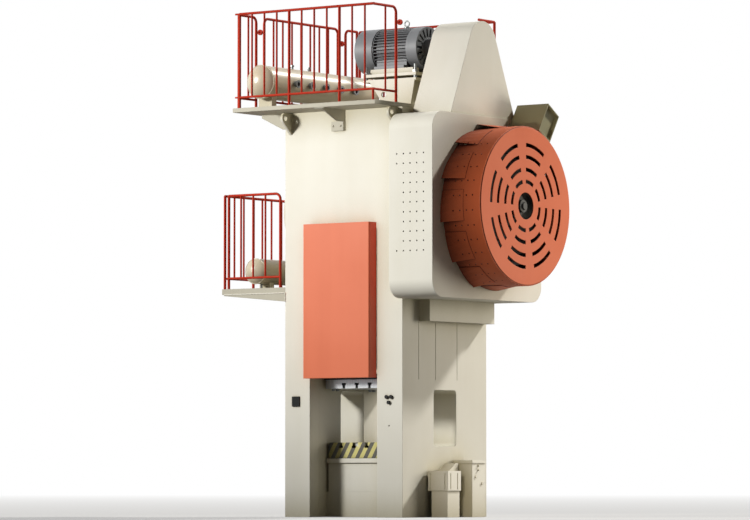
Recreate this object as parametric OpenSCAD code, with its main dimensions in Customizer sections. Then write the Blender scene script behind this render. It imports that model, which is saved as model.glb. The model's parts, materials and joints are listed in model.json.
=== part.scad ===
// Hot forging press, floor standing, built from its real pieces.
// Millimetres, +Z up, the die opening faces -Y, the flywheel side is +X.
// The origin is on the floor under the middle of the frame.

/* [Frame] */
// Width of the frame, left to right
frame_w = 1730; // [1500:10:2000]
// Depth of the frame, front to back
frame_d = 1740; // [1600:10:1900]
// Height of the crown above the floor
frame_h = 4845; // [4600:5:5100]
// Thickness of the front and back walls
wall_t = 180; // [140:5:200]
// Half width of the die opening in the front and back walls
open_hw = 497; // [440:5:520]
// Height of the die opening
open_h = 1700; // [1680:10:1740]
// Half width of the ram well between the columns
well_hw = 505; // [490:5:540]
// Thickness of the crown above the ram well
crown_t = 382; // [300:2:420]
// Length of a side window, front to back
window_l = 470; // [300:10:600]
// Sill of a side window
window_z0 = 842; // [700:10:900]
// Top of a side window
window_z1 = 1511; // [1300:10:1560]
// Corner radius of a side window
window_r = 45; // [20:5:90]

/* [Bed] */
// Half width of the bolster
bolster_hw = 470; // [400:5:485]
// Half depth of the bolster
bolster_hd = 530; // [450:5:600]
// Height of the bolster's top, where the lower die sits
bolster_top = 890; // [850:2:910]
// Thickness of the bolster
bolster_t = 191; // [140:1:220]
// Thickness of the ledge under the bolster
ledge_t = 53; // [30:1:80]
// Radius of the ejector pin
ejector_r = 40; // [30:1:50]

/* [Drive] */
// Distance of the eccentric shaft's axis below the crown
shaft_down = 1177; // [1140:1:1200]
// Throw of the eccentric, half the stroke
throw = 140; // [120:5:140]
// Thickness of the ram's wall in front of the yoke window
yoke_wall = 62; // [50:1:80]
// Height of the motor's axis above the crown
motor_up = 763; // [740:1:800]
// Distance of the motor's axis from the middle, front to back
motor_y = -60; // [-120:5:60]
// Outer radius of the flywheel's grooved rim
fly_r = 790; // [700:5:820]
// Outer radius of the motor pulley
pulley_r = 175; // [140:5:190]
// Number of belts
belt_n = 6; // [3:1:7]
// Distance from one belt to the next
belt_pitch = 44; // [42:1:50]

/* [Covers] */
// Width of the drive housing
house_w = 623; // [610:1:640]
// Half length of the drive housing
house_hl = 1140; // [1060:5:1200]
// Distance of the housing's underside below the shaft's axis
house_down = 1093; // [1060:1:1130]
// Distance of the housing's top above the shaft's axis
house_up = 1087; // [1060:1:1130]
// Radius of the drive housing's corners
house_r = 200; // [120:5:240]
// Sheet of the covers
sheet = 8; // [5:1:12]
// Radius of the clutch cover
cover_r = 945; // [880:1:960]
// Length of the clutch cover
cover_l = 545; // [520:1:640]
// Radius of the vent holes in the covers
vent_r = 9; // [6:0.5:11]

/* [Guard] */
// Half width of the front guard
guard_hw = 487; // [460:1:520]
// Depth of the front guard
guard_d = 150; // [130:1:170]
// Lower edge of the front guard when it is raised
guard_z0 = 1650; // [1600:5:1690]
// Height of the front guard
guard_h = 1840; // [1800:5:1900]

/* [Platforms] */
// Thickness of the upper deck
deck_t = 50; // [40:1:80]
// Height of the railings above a deck
rail_h = 1150; // [1000:10:1200]
// Distance of the lower deck's surface below the shaft's axis
low_down = 913; // [880:1:950]
// Distance between two railing bars
bar_pitch = 186; // [160:1:220]
// Radius of the upper air tank
tank_r = 200; // [170:5:220]
// Radius of the lower air tank
low_tank_r = 152; // [120:2:170]

/* [Output] */
// Node to draw, or all of them

/* [Hidden] */
hx = frame_w / 2;
hy = frame_d / 2;
run = 0.05;            // radial running clearance
gap = 0.3;             // clearance of a seated curved face
flat = 0.5;            // clearance of a flat sliding face
bed_h = 300;           // top of the bed beam between the columns
shaft_z = frame_h - shaft_down;
well_top = frame_h - crown_t;
motor_z = frame_h + motor_up;
house_z0 = shaft_z - house_down;
house_z1 = shaft_z + house_up;
guard_z1 = guard_z0 + guard_h;
low_top = shaft_z - low_down;
ledge_top = bolster_top - bolster_t;
ledge_z = ledge_top - ledge_t;
well_hy = hy - wall_t;
gib_t = 45;
ram_hx = well_hw - gib_t - 0.1;
gib_y = 60;
gib_z0 = open_h + 60;
gib_z1 = shaft_z - 435;
ram_hy = well_hy - gib_y - 0.1;
ram_z0 = 1640;
holder_t = 105;
ecc_r = ram_hy - yoke_wall - throw - 58;
journal_r = 0.595 * ecc_r;
block_hz = ecc_r + 55;
block_hy = ecc_r + 50;
block_hx = ram_hx - 35;
yoke_z = shaft_z + throw;
yoke_hz = block_hz + 0.24 * throw;
yoke_hy = block_hy + throw + 8;
ram_top = yoke_z + yoke_hz + 125;
bush_r = journal_r + 26;
bear_r = ecc_r + 10;
fly_x = hx + 320;      // middle of the flywheel and of the belts
fly_seat_r = journal_r - 35;
brake_seat_r = journal_r - 60;
clutch_seat_r = fly_seat_r - 45;
shelf_z = house_z0 - 255;
stator_r = 265;
shield_l = 675;
mx = hx - 865;         // the motor keeps its distance from the belts
house_x = hx + house_w;
cover_x = house_x + cover_l;
guard_w = 560;
deck_z = frame_h;
deck_top = deck_z + deck_t;
deck_x0 = -hx - 415;
deck_x1 = hx - 36;
deck_y0 = -hy - 500;
deck_y1 = hy + 330;
rail_in = 25;
post_r = 17;
top_r = 16;
low_r = 14;
bar_r = 12;
bend_r = 70;
low_x0 = -hx - 965;
low_t = 68;
belt_h = 18;
belt_w = 29;
groove_d = 28;
base_z = motor_z - 315;
front_y = -hy - guard_d;
btn = [[hx - 226, 1420], [hx - 160, 1420], [hx - 194, 1354]];
lug_z = frame_h - 68; // height of the lifting eyes
lug_out = 122;         // distance of an eye from the wall

cream = [0.90, 0.87, 0.79];
orange = [0.83, 0.38, 0.25];
red = [0.68, 0.17, 0.14];
grey = [0.58, 0.59, 0.60];
steel = [0.70, 0.71, 0.72];
dark = [0.22, 0.22, 0.23];
bronze = [0.72, 0.53, 0.28];
black = [0.06, 0.06, 0.06];
tan = [0.85, 0.79, 0.66];
olive = [0.56, 0.54, 0.41];

// a block between two corners
module bx(x0, x1, y0, y1, z0, z1) translate([x0, y0, z0]) cube([x1 - x0, y1 - y0, z1 - z0]);
// round bars along X, Y and Z
module cx(x0, x1, r, y = 0, z = 0, n = 96) translate([x0, y, z]) rotate([0, 90, 0])
  cylinder(h = x1 - x0, r = r, $fn = n);
module cy(y0, y1, r, x = 0, z = 0, n = 48) translate([x, y0, z]) rotate([-90, 0, 0])
  cylinder(h = y1 - y0, r = r, $fn = n);
module cz(z0, z1, r, x = 0, y = 0, n = 48) translate([x, y, z0]) cylinder(h = z1 - z0, r = r, $fn = n);
// a ring along X
module ring_x(x0, x1, ri, ro, y = 0, z = 0) difference() {
  cx(x0, x1, ro, y, z);
  cx(x0 - 1, x1 + 1, ri, y, z);
}
// a block along X with its four long edges rounded
module round_x(x0, x1, y0, y1, z0, z1, r) {
  bx(x0, x1, y0 + r, y1 - r, z0, z1);
  bx(x0, x1, y0, y1, z0 + r, z1 - r);
  for (y = [y0 + r, y1 - r], z = [z0 + r, z1 - r]) cx(x0, x1, r, y, z, 64);
}
// turns a profile of [radius, x] points about the shaft's axis
module lathe_x(y, z) translate([0, y, z]) rotate([0, 90, 0]) rotate_extrude($fn = 128) children();
// a hexagon head along Z
module hex_z(z0, z1, r, x, y) translate([x, y, z0]) cylinder(h = z1 - z0, r = r, $fn = 6);
// a hexagon head along Y
module hex_y(y0, y1, r, x, z) translate([x, y0, z]) rotate([-90, 0, 0]) cylinder(h = y1 - y0, r = r, $fn = 6);

// the one-piece frame: two columns, crown, bed beam and the shelf of the drive housing
module main_frame() color(cream) difference() {
  union() {
    difference() {
      bx(-hx, hx, -hy, hy, 0, frame_h);
      bx(-open_hw, open_hw, -hy - 1, hy + 1, -1, open_h);
      bx(-well_hw, well_hw, -well_hy, well_hy, -1, well_top);
    }
    bx(-well_hw - 5, well_hw + 5, -bolster_hd, bolster_hd, 0, bed_h);
    bx(hx - 5, hx + 155, -hy + 340, hy - 50, shelf_z, house_z0);
    for (s = [-1, 1], t = [-1, 1]) lug(s * (hx - 80), t);
  }
  for (s = [-1, 1]) side_window(s);
  for (x = [-hx - 20, well_hw - 20]) cx(x, x + hx - well_hw + 40, bear_r + gap, 0, shaft_z);
  for (s = [-1, 1], y = [-0.62, -0.222, 0.29])
    bx(s * hx - 5, s * hx + 5, y * hy - 4, y * hy + 4, window_z1 + 120, shelf_z - 5);
  for (b = btn) cy(-hy - 1, -hy + 45, 12, b[0], b[1]);
  cy(-hy - 1, -hy + 30, 9, hx - 194, 1080);
}
module side_window(s) {
  x0 = s > 0 ? well_hw - 20 : -hx - 1;
  x1 = s > 0 ? hx + 1 : -well_hw + 20;
  round_x(x0, x1, -window_l / 2, window_l / 2, window_z0, window_z1, window_r);
}
// a lifting lug: an eye on a plate that tapers down the wall
module lug(x, t) mirror([0, t > 0 ? 1 : 0, 0]) difference() {
  union() {
    translate([x - 16, 0, 0]) rotate([90, 0, 90]) linear_extrude(height = 32)
      polygon([[-hy + 5, lug_z - 200], [-hy - 4, lug_z - 192], [-hy - lug_out - 43, lug_z - 50],
        [-hy - lug_out - 43, lug_z + 40], [-hy - lug_out, lug_z + 66], [-hy + 5, lug_z + 66]]);
    cx(x - 16, x + 16, 66, -hy - lug_out, lug_z, 64);
  }
  cx(x - 20, x + 20, 32, -hy - lug_out, lug_z, 48);
}

// the pedestal on the bed beam with its ledge
module bed_pedestal() color(cream) difference() {
  union() {
    bx(-bolster_hw, bolster_hw, -bolster_hd, bolster_hd, bed_h, ledge_z);
    bx(-bolster_hw - 15, bolster_hw + 15, -bolster_hd - 20, bolster_hd + 20, ledge_z, ledge_top);
  }
  cz(bed_h - 1, ledge_top + 1, 125 + gap);
}
// the bolster plate with its tee slots and ejector bore
module bolster() color(steel) difference() {
  bx(-bolster_hw, bolster_hw, -bolster_hd, bolster_hd, ledge_top, bolster_top);
  for (x = [-285, -95, 95, 285]) {
    bx(x - 18, x + 18, -bolster_hd - 1, bolster_hd + 1, bolster_top - 40, bolster_top + 1);
    bx(x - 30, x + 30, -bolster_hd - 1, bolster_hd + 1, bolster_top - 66, bolster_top - 38);
  }
  cz(ledge_top - 1, bolster_top + 1, ejector_r + run);
}
module ejector_cylinder() color(dark) difference() {
  cz(bed_h, ledge_top, 125);
  cz(bed_h + 20, ledge_top - 60, 80 + run);
  cz(ledge_top - 61, ledge_top + 1, ejector_r + run);
}
// the knock-out pin and its piston
module ejector_pin() color(steel) {
  cz(bed_h + 140, bolster_top - 4, ejector_r);
  cz(bed_h + 120, bed_h + 190, 80);
}

// the ram with the yoke window that the slide block works in
module ram() color(dark) difference() {
  bx(-ram_hx, ram_hx, -ram_hy, ram_hy, ram_z0, ram_top);
  bx(-ram_hx - 1, ram_hx + 1, -yoke_hy, yoke_hy, yoke_z - yoke_hz, yoke_z + yoke_hz);
}
module upper_die_holder() color(steel) difference() {
  bx(-ram_hx, ram_hx, -ram_hy + 30, ram_hy - 30, ram_z0 - holder_t, ram_z0);
  for (x = [-190, 0, 190]) {
    bx(x - 18, x + 18, -ram_hy, ram_hy, ram_z0 - holder_t - 1, ram_z0 - holder_t + 40);
    bx(x - 30, x + 30, -ram_hy, ram_hy, ram_z0 - holder_t + 38, ram_z0 - holder_t + 66);
  }
}
module holder_bolts() color(dark)
  for (x = [-395, 395], y = [-ram_hy + 100, -ram_hy + 180, ram_hy - 415, ram_hy - 335])
  hex_z(ram_z0 - holder_t - 26, ram_z0 - holder_t, 24, x, y);
// four corner gibs that guide the ram
module ram_gibs() color(bronze) for (s = [-1, 1], t = [-1, 1]) mirror([s < 0 ? 1 : 0, 0, 0])
  mirror([0, t < 0 ? 1 : 0, 0]) union() {
    bx(well_hw - gib_t, well_hw, well_hy - 270, well_hy, gib_z0, gib_z1);
    bx(well_hw - 190, well_hw, well_hy - gib_y, well_hy, gib_z0, gib_z1);
  }
module yoke_block() color(bronze) difference() {
  bx(-block_hx, block_hx, -block_hy, block_hy, yoke_z - block_hz, yoke_z + block_hz);
  cx(-block_hx - 1, block_hx + 1, ecc_r + run, 0, yoke_z);
}
// the eccentric shaft, stored with its throw at the top
module eccentric_shaft() color(steel) {
  cx(-hx - 10, hx + 30, journal_r, 0, shaft_z);
  cx(-block_hx - 8, block_hx + 8, ecc_r, 0, yoke_z);
  cx(-hx - 200, -hx, brake_seat_r, 0, shaft_z);
  cx(hx, house_x + 30, fly_seat_r, 0, shaft_z);
  cx(house_x, cover_x - 130, clutch_seat_r, 0, shaft_z);
}
module bearing_housings() color(dark) for (s = [-1, 1]) mirror([s < 0 ? 1 : 0, 0, 0]) union() {
  ring_x(well_hw + 10, hx + 2, bush_r + gap, bear_r, 0, shaft_z);
  ring_x(hx, hx + 28, bush_r + gap, bear_r + 50, 0, shaft_z);
}
module bearing_bushes() color(bronze) for (s = [-1, 1]) mirror([s < 0 ? 1 : 0, 0, 0])
  ring_x(well_hw + 10, hx + 28, journal_r + run, bush_r, 0, shaft_z);

// the brake on the shaft's left end
module brake_disc() color(steel) {
  ring_x(-hx - 145, -hx - 110, brake_seat_r + gap, 430, 0, shaft_z);
  ring_x(-hx - 190, -hx - 80, brake_seat_r + gap, brake_seat_r + 65, 0, shaft_z);
}
module brake_caliper() color(dark) for (s = [-1, 1]) difference() {
  bx(-hx - 190, -hx, s > 0 ? 280 : -500, s > 0 ? 500 : -280, shaft_z - 140, shaft_z + 140);
  cx(-hx - 149, -hx - 106, 436, 0, shaft_z);
  cx(-hx - 30, -hx + 1, bear_r + 52, 0, shaft_z);
}
module brake_cover() color(cream) difference() {
  cx(-hx - 228, -hx, 600, 0, shaft_z);
  cx(-hx - 228 + sheet, -hx + 1, 600 - sheet, 0, shaft_z);
  for (a = [0:30:330]) translate([0, 0, shaft_z]) rotate([a, 0, 0])
    cx(-hx - 230, -hx - 215, 22, 0, 470, 32);
}

// flywheel with belt grooves, turning on its bush
module flywheel() color(dark) lathe_x(0, shaft_z) difference() {
  union() {
    translate([fly_r - 150, fly_x - 235]) square([150, 470]);
    translate([fly_seat_r + 60, fly_x - 50]) square([fly_r - fly_seat_r - 180, 100]);
    translate([fly_seat_r + 30 + gap, fly_x - 235]) square([110, 470]);
  }
  for (i = [0 : belt_n - 1]) translate([fly_r, fly_x + (i - (belt_n - 1) / 2) * belt_pitch])
    polygon([[1, -17], [1, 17], [-groove_d, 13], [-groove_d, -13]]);
}
module flywheel_bush() color(bronze)
  ring_x(fly_x - 235, fly_x + 235, fly_seat_r + run, fly_seat_r + 30, 0, shaft_z);
// driving ring of the clutch, bolted to the flywheel's hub through the housing's right wall
module clutch_ring() color(dark) lathe_x(0, shaft_z) union() {
  translate([fly_seat_r + 60, fly_x + 235]) square([100, house_x + 60 - fly_x - 235]);
  translate([fly_seat_r + 60, house_x + 40]) square([700 - fly_seat_r - 60, 60]);
  translate([640, house_x + 90]) square([60, 250]);
}
// driven disc and its hub on the shaft
module clutch_disc() color(steel) {
  ring_x(house_x + 160, house_x + 330, clutch_seat_r + gap, clutch_seat_r + 90, 0, shaft_z);
  ring_x(house_x + 200, house_x + 260, clutch_seat_r + 60, 630, 0, shaft_z);
}
// rotary air union seen in the middle of the clutch cover
module air_union() color(grey) {
  cx(cover_x - 130, cover_x - 80, 130, 0, shaft_z, 64);
  cx(cover_x - 82, cover_x - 30, 75, 0, shaft_z, 48);
  translate([cover_x - 32, 0, shaft_z]) rotate([0, 90, 0]) cylinder(h = 26, r = 45, $fn = 6);
}

// sheet housing of the flywheel with its vented front
module drive_housing() color(cream) difference() {
  round_x(hx, house_x, -house_hl, house_hl, house_z0, house_z1, house_r);
  round_x(hx + sheet, house_x - sheet, -house_hl + sheet, house_hl - sheet, house_z0 + sheet,
    house_z1 - sheet, house_r - sheet);
  cx(hx - 1, hx + sheet + 1, bear_r + 70, 0, shaft_z);
  cx(house_x - sheet - 1, house_x + 1, fly_seat_r + 190, 0, shaft_z);
  bx(fly_x - 190, fly_x + 190, motor_y - 530, motor_y + 530, house_z1 - sheet - 1, house_z1 + 1);
  for (i = [0:4], j = [0:10]) if (i > 0 || j == 0 || j > 8)
    cy(-house_hl - 1, -house_hl + sheet + 1, vent_r, hx + 113 + i * 96, 3120 + j * 114, 24);
}
// clutch cover: rolled shell with vent holes, and an air inlet under each flap
module clutch_cover_shell() color(orange) difference() {
  union() {
    ring_x(house_x, cover_x - sheet - 4, cover_r - sheet, cover_r, 0, shaft_z);
    ring_x(house_x, house_x + 10, cover_r - 60, cover_r, 0, shaft_z);
  }
  vents();
  for (a = scoop_at) translate([house_x, 0, shaft_z]) rotate([a, 0, 0])
    bx(25, 130, 14, 125, cover_r - 40, cover_r + 20);
}
module vents() for (a = [-48:10.7:70], i = [0:3], s = [0, 1]) translate([0, 0, shaft_z])
  rotate([s * 180 + a, 0, 0]) cy(-cover_r - 70, -cover_r + sheet + 4, vent_r, cover_x - 375 + i * 87, 0, 16);
// flaps beside the inlets, bent out at the housing and running flat into the shell at their tips
scoop_at = [12.7 : 30 : 342.7];
scoop_h = 52;
scoop_l = 300;
scoop_a = 22;
scoop_t = 5;
lift = 1.5;            // keeps the flat facets of a flap off the round shell
function flap(x, h, out) = [for (k = [0:4])
  let (a = scoop_a * k / 4, r = cover_r + lift + out + h * (4 - k) / 4) [x, r * sin(a), r * cos(a)]];
module scoop() polyhedron(
  points = concat(flap(gap, scoop_h, scoop_t), flap(gap, scoop_h, 0),
    flap(scoop_l, 0, scoop_t), flap(scoop_l, 0, 0)),
  faces = concat([[0, 10, 15, 5], [4, 9, 19, 14]],
    [for (k = [0:3]) each [[k, k + 1, 11 + k], [k, 11 + k, 10 + k],
      [5 + k, 15 + k, 16 + k], [5 + k, 16 + k, 6 + k],
      [5 + k, 6 + k, 1 + k, k], [10 + k, 11 + k, 16 + k, 15 + k]]]));
module cover_scoops() color(orange) difference() {
  for (a = scoop_at) translate([house_x, 0, shaft_z]) rotate([a, 0, 0]) scoop();
  vents();
}
module clutch_cover_disc() color(orange) difference() {
  union() {
    cx(cover_x - sheet - 4, cover_x, cover_r - 14, 0, shaft_z);
    cx(cover_x - sheet - 4, cover_x - 8, cover_r, 0, shaft_z);
  }
  cx(cover_x - 30, cover_x + 1, 160, 0, shaft_z);
  for (k = [0:7], r = [0.33, 0.48, 0.64, 0.79]) translate([cover_x - 20, 0, shaft_z])
    rotate([45 * k + 13.5, 0, 0]) rotate([90, 0, 90]) rotate_extrude(angle = 31, $fn = 96)
      translate([r * cover_r - 46, 0]) square([46, 30]);
}
// belt guard on top of the housing
module belt_guard() color(cream) difference() {
  guard_shape(fly_x - guard_w / 2, fly_x + guard_w / 2, 0);
  guard_shape(fly_x - guard_w / 2 + 6, fly_x + guard_w / 2 - 6, 6);
  cx(fly_x - guard_w / 2 - 1, fly_x - guard_w / 2 + 8, 95, motor_y, motor_z);
}
module guard_shape(x0, x1, t) translate([x0, 0, 0]) rotate([90, 0, 90]) linear_extrude(height = x1 - x0)
  hull() {
    translate([motor_y, motor_z]) circle(r = 280 - t, $fn = 72);
    translate([motor_y - 660 + t, house_z1 - (t > 0 ? 1 : 0)]) square([1320 - 2 * t, 20]);
  }
module flywheel_brake_box() color(olive) translate([0, 0, shaft_z]) rotate([-32, 0, 0]) difference() {
  bx(house_x + gap, cover_x - 96, -135, 135, cover_r + 69, cover_r + 460);
  bx(cover_x - 136, cover_x - 95, -120, 120, cover_r + 97, cover_r + 445);
}

// belts round the flywheel and the motor pulley
module drive_belts() color(black) for (i = [0 : belt_n - 1])
  translate([fly_x + (i - (belt_n - 1) / 2) * belt_pitch, 0, 0]) difference() {
    belt_loop(belt_w, belt_h - 14);
    belt_loop(belt_w + 2, -14);
  }
// outline of a belt, offset by t from the rims: wrap of the flywheel, then of the pulley
belt_dir = atan2(motor_z - shaft_z, motor_y);
belt_tan = acos((fly_r - pulley_r) / norm([motor_y, motor_z - shaft_z]));
function belt_points(t) = concat(
  [for (k = [0:48]) let (a = belt_dir + belt_tan + k * (360 - 2 * belt_tan) / 48)
    [(fly_r + t) * cos(a), shaft_z + (fly_r + t) * sin(a)]],
  [for (k = [0:18]) let (a = belt_dir - belt_tan + k * 2 * belt_tan / 18)
    [motor_y + (pulley_r + t) * cos(a), motor_z + (pulley_r + t) * sin(a)]]);
module belt_loop(w, t) translate([-w / 2, 0, 0]) rotate([90, 0, 90]) linear_extrude(height = w)
  polygon(belt_points(t));
module motor_pulley() color(dark) lathe_x(motor_y, motor_z) difference() {
  translate([48, fly_x - 150]) square([pulley_r - 48, 300]);
  for (i = [0 : belt_n - 1]) translate([pulley_r, fly_x + (i - (belt_n - 1) / 2) * belt_pitch])
    polygon([[1, -17], [1, 17], [-groove_d, 13], [-groove_d, -13]]);
}
// motor: rotor with its shaft, fan, finned stator, end shield and fan cover
module motor_rotor() color(steel) {
  cx(mx - 180, fly_x + 170, 47.7, motor_y, motor_z, 64);
  cx(mx + 70, mx + 530, 170, motor_y, motor_z, 64);
}
module motor_fan() color(black) difference() {
  union() {
    cx(mx - 130, mx - 60, 80, motor_y, motor_z, 48);
    for (a = [0:45:315]) translate([mx, motor_y, motor_z]) rotate([a, 0, 0]) bx(-130, -70, -5, 5, 60, 210);
  }
  cx(mx - 131, mx - 59, 48, motor_y, motor_z, 48);
}
module motor_stator() color(grey) difference() {
  union() {
    cx(mx, mx + 560, 228, motor_y, motor_z);
    for (a = [0:9:351]) translate([mx, motor_y, motor_z]) rotate([a, 0, 0]) bx(15, 545, -4, 4, 218, 262);
    for (x = [0, 520]) cx(mx + x, mx + x + 40, stator_r, motor_y, motor_z);
    for (y = [motor_y - 215, motor_y + 215]) bx(mx + 60, mx + 500, y - 55, y + 55, base_z + 75, base_z + 110);
    for (y = [motor_y - 190, motor_y + 190]) bx(mx + 60, mx + 500, y - 20, y + 20, base_z + 100, motor_z - 90);
    bx(mx + 230, mx + 420, motor_y + 210, motor_y + 325, motor_z - 20, motor_z + 150);
    cz(motor_z + 210, motor_z + 265, 42, mx + 354, motor_y);
  }
  cx(mx + 25, mx + 561, 172, motor_y, motor_z, 64);
  cx(mx - 1, mx + 26, 47.75, motor_y, motor_z, 64);
}
module motor_end_shield() color(grey) difference() {
  union() {
    cx(mx + 560, mx + shield_l, stator_r, motor_y, motor_z);
    cx(mx + shield_l - 1, mx + 815, 120, motor_y, motor_z);
  }
  cx(mx + 559, mx + shield_l - 18, 185, motor_y, motor_z, 64);
  cx(mx + shield_l - 20, mx + 816, 47.75, motor_y, motor_z, 64);
  for (a = [10:20:350]) translate([mx, motor_y, motor_z]) rotate([a, 0, 0])
    bx(shield_l - 28, shield_l + 1, -15, 15, 0.52 * stator_r, 0.91 * stator_r);
}
module motor_fan_cover() color(grey) difference() {
  cx(mx - 230, mx + 25, 275, motor_y, motor_z);
  cx(mx - 224, mx + 26, stator_r + gap, motor_y, motor_z);
  for (r = [60:36:240], k = [0:5]) translate([mx - 235, motor_y, motor_z]) rotate([60 * k + 8, 0, 0])
    rotate([90, 0, 90]) rotate_extrude(angle = 44, $fn = 64) translate([r, 0]) square([16, 20]);
}
module motor_eyebolt() color(dark) translate([mx + 354, motor_y, motor_z + 265]) {
  cylinder(h = 16, r = 34, $fn = 32);
  translate([0, 0, 54]) rotate([90, 0, 0]) rotate_extrude($fn = 48) translate([33, 0]) circle(r = 9, $fn = 24);
  cylinder(h = 26, r = 13, $fn = 24);
}
module motor_base() color(cream) {
  for (y = [motor_y - 215, motor_y + 215]) bx(mx + 10, mx + 640, y - 60, y + 60, base_z + 10, base_z + 75);
  bx(mx - 60, mx + 720, motor_y - 330, motor_y + 330, base_z - 25, base_z + 12);
}
module jack_screws() color(dark) for (x = [-30, 690], y = [-300, 300]) {
  cz(base_z - 55, base_z - 25, 22, mx + x, motor_y + y);
  hex_z(base_z + 12, base_z + 40, 36, mx + x, motor_y + y);
  cz(base_z + 39, base_z + 110, 18, mx + x, motor_y + y);
}
// stand of the motor: two plates that taper downwards, tied by webs
module motor_bracket() color(cream) difference() {
  union() {
    bx(mx - 60, mx + 720, motor_y - 330, motor_y + 330, base_z - 85, base_z - 55);
    for (y = [-310, 330]) translate([mx, motor_y + y, 0]) rotate([90, 0, 0]) linear_extrude(height = 20)
      polygon([[40, base_z - 84], [700, base_z - 84], [640, deck_top], [265, deck_top]]);
    for (x = [300, 580]) bx(mx + x, mx + x + 20, motor_y - 320, motor_y + 320, deck_top, base_z - 80);
  }
  cy(motor_y - 331, motor_y + 331, 33, mx + 245, (deck_top + base_z) / 2 - 40);
}

// upper deck with its gussets and the bolted strut on the frame's front
module upper_deck() color(cream) {
  bx(deck_x0, deck_x1, deck_y0, deck_y1, deck_z, deck_top);
  for (y = [-hy + 20, 0, hy - 40]) translate([0, y + 20, 0]) rotate([90, 0, 0]) linear_extrude(height = 20)
    polygon([[deck_x0 + 40, deck_z + 5], [-hx, deck_z + 5], [-hx, deck_z - 185], [-hx - 60, deck_z - 185],
      [deck_x0 + 40, deck_z - 35]]);
  translate([14, 0, 0]) rotate([90, 0, 90]) linear_extrude(height = 20)
    polygon([[deck_y0 + 30, deck_z + 5], [-hy, deck_z + 5], [-hy, deck_z - 140], [-hy - 170, deck_z - 140],
      [deck_y0 + 30, deck_z - 12]]);
  bx(-140, 36, -hy - 50, -hy, deck_z - 250, deck_z - 135);
  for (x = [-115, -5]) hex_y(-hy - 66, -hy - 49, 14, x, deck_z - 190);
  bx(-70, 60, deck_y0 + 20, deck_y0 + 60, deck_z - 12, deck_z + 5);
}

// a straight railing along X or Y: posts at p, bars between, an end with e = 1 bends down into its post
module rail_x(x0, x1, y, z, posts, e0 = 0, e1 = 0) {
  cx(x0 + e0 * bend_r, x1 - e1 * bend_r, top_r, y, z + rail_h - top_r, 32);
  cx(x0, x1, low_r, y, z + 130, 32);
  for (p = posts) cz(z, post_end(z, p == x0 && e0 > 0 || p == x1 && e1 > 0), post_r, p, y, 32);
  for (p = [x0 + bar_pitch : bar_pitch : x1 - 60]) cz(z + 130, z + rail_h - top_r, bar_r, p, y, 16);
  if (e0 > 0) translate([x0 + bend_r, y, post_end(z, true)]) rotate([90, 0, 0]) rotate([0, 0, 90]) bend();
  if (e1 > 0) translate([x1 - bend_r, y, post_end(z, true)]) rotate([90, 0, 0]) bend();
}
function post_end(z, bent) = z + rail_h - top_r - (bent ? bend_r : 0);
module bend() rotate_extrude(angle = 90, $fn = 48) translate([bend_r, 0]) circle(r = top_r, $fn = 32);
module rail_y(y0, y1, x, z, posts, e0 = 0, e1 = 0, pitch = bar_pitch) {
  cy(y0 + e0 * bend_r, y1 - e1 * bend_r, top_r, x, z + rail_h - top_r, 32);
  cy(y0, y1, low_r, x, z + 130, 32);
  for (p = posts) cz(z, post_end(z, p == y0 && e0 > 0 || p == y1 && e1 > 0), post_r, x, p, 32);
  for (p = [y0 + pitch : pitch : y1 - 60]) cz(z + 130, z + rail_h - top_r, bar_r, x, p, 16);
  if (e0 > 0) translate([x, y0 + bend_r, post_end(z, true)]) rotate([90, 0, 90]) rotate([0, 0, 90]) bend();
  if (e1 > 0) translate([x, y1 - bend_r, post_end(z, true)]) rotate([90, 0, 90]) bend();
}
rx0 = deck_x0 + rail_in;
rx1 = deck_x1 - 45;
ry0 = deck_y0 + rail_in;
ry1 = deck_y1 - rail_in;
ret = top_r + gap;
return_l = 460;
clamp_z = deck_top + rail_h - 190;
module upper_rail_front() color(red) {
  rail_x(rx0 + 60, rx1 + top_r, ry0, deck_top, [rx0 + 60, rx0 + 60 + 4 * bar_pitch, rx0 + 60 + 8 * bar_pitch]);
  cz(deck_top, deck_top + 130, low_r, rx1, ry0, 32);
  bx(rx0 - 5, rx0 + 61, ry0 - 10, ry0 + 10, deck_top + rail_h - top_r - 10, deck_top + rail_h - top_r + 10);
  bx(rx0 - 5, rx0 + 61, ry0 - 9, ry0 + 9, deck_top + 121, deck_top + 139);
  rail_y(ry0 + ret, ry0 + return_l, rx1, deck_top, [ry0 + return_l], 0, 1, return_l / 2);
}
module upper_rail_left() color(red) {
  rail_y(ry0 + 60, ry0 + 400, rx0, deck_top, [ry0 + 60, ry0 + 400], 0, 1);
  rail_y(ry0 + 560, ry0 + 2060, rx0, deck_top, [ry0 + 560, ry0 + 1310, ry0 + 2060], 1, 1);
  rail_y(ry0 + 2220, ry1 - 60, rx0, deck_top, [ry0 + 2220, ry1 - 60], 1, 0);
}
module upper_rail_back() color(red) {
  rail_x(rx0, rx1, ry1, deck_top, [rx0, rx0 + 700, rx0 + 1400, rx1]);
  rail_y(ry1 - 340, ry1 - post_r - gap, rx1, deck_top, [ry1 - 340 + bar_pitch]);
}
// clamps that tie neighbouring railing panels
module rail_couplings() color(red) {
  for (y = [ry0 + 480, ry0 + 2140]) {
    cy(y - 80 + post_r + gap, y + 80 - post_r - gap, 12, rx0, clamp_z, 24);
    cy(y - 12, y + 12, 34, rx0, clamp_z, 32);
  }
  cy(ry0 + return_l + post_r + gap, ry0 + return_l + 80, 12, rx1, clamp_z, 24);
  cy(ry0 + return_l + 68, ry0 + return_l + 92, 34, rx1, clamp_z, 32);
}

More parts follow.
